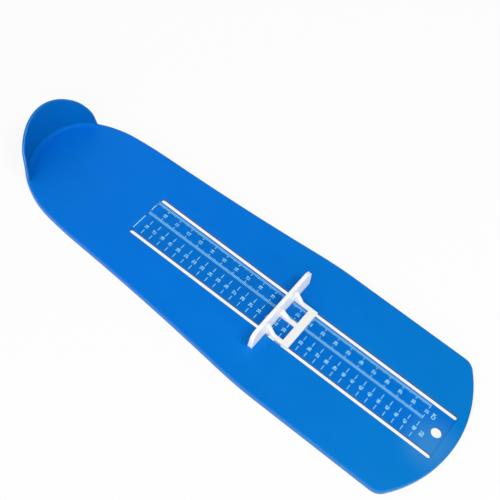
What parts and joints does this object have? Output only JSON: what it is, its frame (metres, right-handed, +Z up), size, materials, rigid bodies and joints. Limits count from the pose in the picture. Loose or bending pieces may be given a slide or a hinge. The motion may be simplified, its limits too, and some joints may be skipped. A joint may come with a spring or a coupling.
{
  "type": "foot measuring device",
  "caption": "Flat sole-shaped board with a raised heel cup, a printed length scale in a recess between long slots, and a sliding toe stop that is read against the scale.",
  "frame": {"origin": "middle of the footprint on the surface below the board: the centre of the bounding box at its lowest face", "axes": "+X along the board from the heel cup to the toe, +Y towards the left side of a foot that stands on it, +Z up. The scale's zero, where the heel touches the cup, is at x = -165.5 mm"},
  "size_m": [0.3406, 0.1112, 0.0345],
  "materials": {
    "plate_plastic": "semi-gloss moulded blue",
    "slider_plastic": "semi-gloss moulded white"
  },
  "bodies": {
    "board": {"base_plate": "plate_plastic"},
    "toe_stop": {"slider": "slider_plastic"}
  },
  "joints": [
    {"name": "toe_stop_slide", "type": "slide", "parent": "board", "child": "toe_stop", "axis": [1, 0, 0], "range_m": [-0.1084, 0.1121]}
  ]
}
